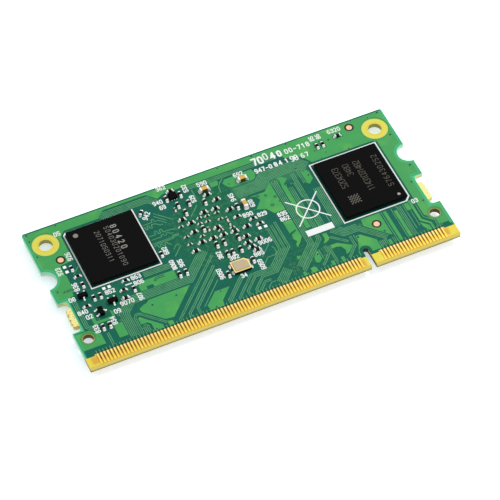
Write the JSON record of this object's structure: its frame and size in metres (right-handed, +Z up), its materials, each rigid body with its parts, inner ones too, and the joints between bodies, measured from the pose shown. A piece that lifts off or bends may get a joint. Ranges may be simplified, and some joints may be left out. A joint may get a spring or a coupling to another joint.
{
  "type": "plug-in compute board",
  "caption": "Flat green circuit board with a gold edge connector, keyed slot, latch notches and large flat chip packages on both faces.",
  "frame": {"origin": "under the middle of the board, on the surface that the lower package rests on", "axes": "+X along the contact edge to the right seen from above, +Y from the contact edge to the far edge, +Z up out of the face with the memory and storage packages"},
  "size_m": [0.0676, 0.031, 0.003],
  "materials": {
    "laminate": "bare woven glass laminate, satin",
    "solder_mask": "glossy green solder mask over bare laminate",
    "masked_copper": "glossy green solder mask over copper fields",
    "masked_trace": "glossy green solder mask over copper traces",
    "contact_gold": "polished gold plating",
    "bare_copper": "bright bare copper",
    "print_ink": "white printed ink, matt",
    "mould_compound": "black moulding compound, fine matt grain",
    "package_substrate": "dark green package substrate",
    "solder": "bright tin solder and plating",
    "dark_ceramic": "fired dark brown ceramic, satin",
    "tan_ceramic": "fired tan ceramic, satin",
    "white_ceramic": "white alumina",
    "ferrite": "grey moulded ferrite",
    "lid_metal": "thin plated lid, satin"
  },
  "bodies": {
    "root": {"circuit_board": "laminate", "solder_mask_top": "solder_mask", "solder_mask_bottom": "solder_mask", "edge_contacts_top": "contact_gold", "edge_contacts_bottom": "contact_gold", "copper_fields_top": "masked_copper", "copper_fields_bottom": "masked_copper", "signal_traces_top": "masked_trace", "signal_traces_bottom": "masked_trace", "fiducial_marks_top": "bare_copper", "fiducial_marks_bottom": "bare_copper", "screen_print_top": "print_ink", "screen_print_bottom": "print_ink", "memory_mould_cap": "mould_compound", "memory_substrate": "package_substrate", "memory_solder_balls": "solder", "storage_mould_cap": "mould_compound", "storage_substrate": "package_substrate", "storage_solder_balls": "solder", "processor_mould_cap": "mould_compound", "processor_substrate": "package_substrate", "processor_solder_balls": "solder", "crystal_base": "dark_ceramic", "crystal_seal_ring": "contact_gold", "crystal_lid": "lid_metal", "capacitor_0603_bodies_top": "tan_ceramic", "capacitor_0603_terminals_top": "solder", "capacitor_0402_bodies_top": "dark_ceramic", "capacitor_0402_terminals_top": "solder", "capacitor_0201_bodies_top": "dark_ceramic", "capacitor_0201_terminals_top": "solder", "resistor_bodies_top": "white_ceramic", "resistor_overcoats_top": "mould_compound", "resistor_terminals_top": "solder", "transistor_bodies": "mould_compound", "transistor_leads": "solder", "regulator_body": "mould_compound", "regulator_pads": "solder", "solder_joints_top": "solder", "bare_pads_top": "solder", "capacitor_0603_bodies_bottom": "tan_ceramic", "capacitor_0603_terminals_bottom": "solder", "capacitor_0402_bodies_bottom": "dark_ceramic", "capacitor_0402_terminals_bottom": "solder", "inductor_bodies": "ferrite", "inductor_terminals": "solder", "converter_bodies": "mould_compound", "converter_pads": "solder", "solder_joints_bottom": "solder"}
  },
  "joints": []
}
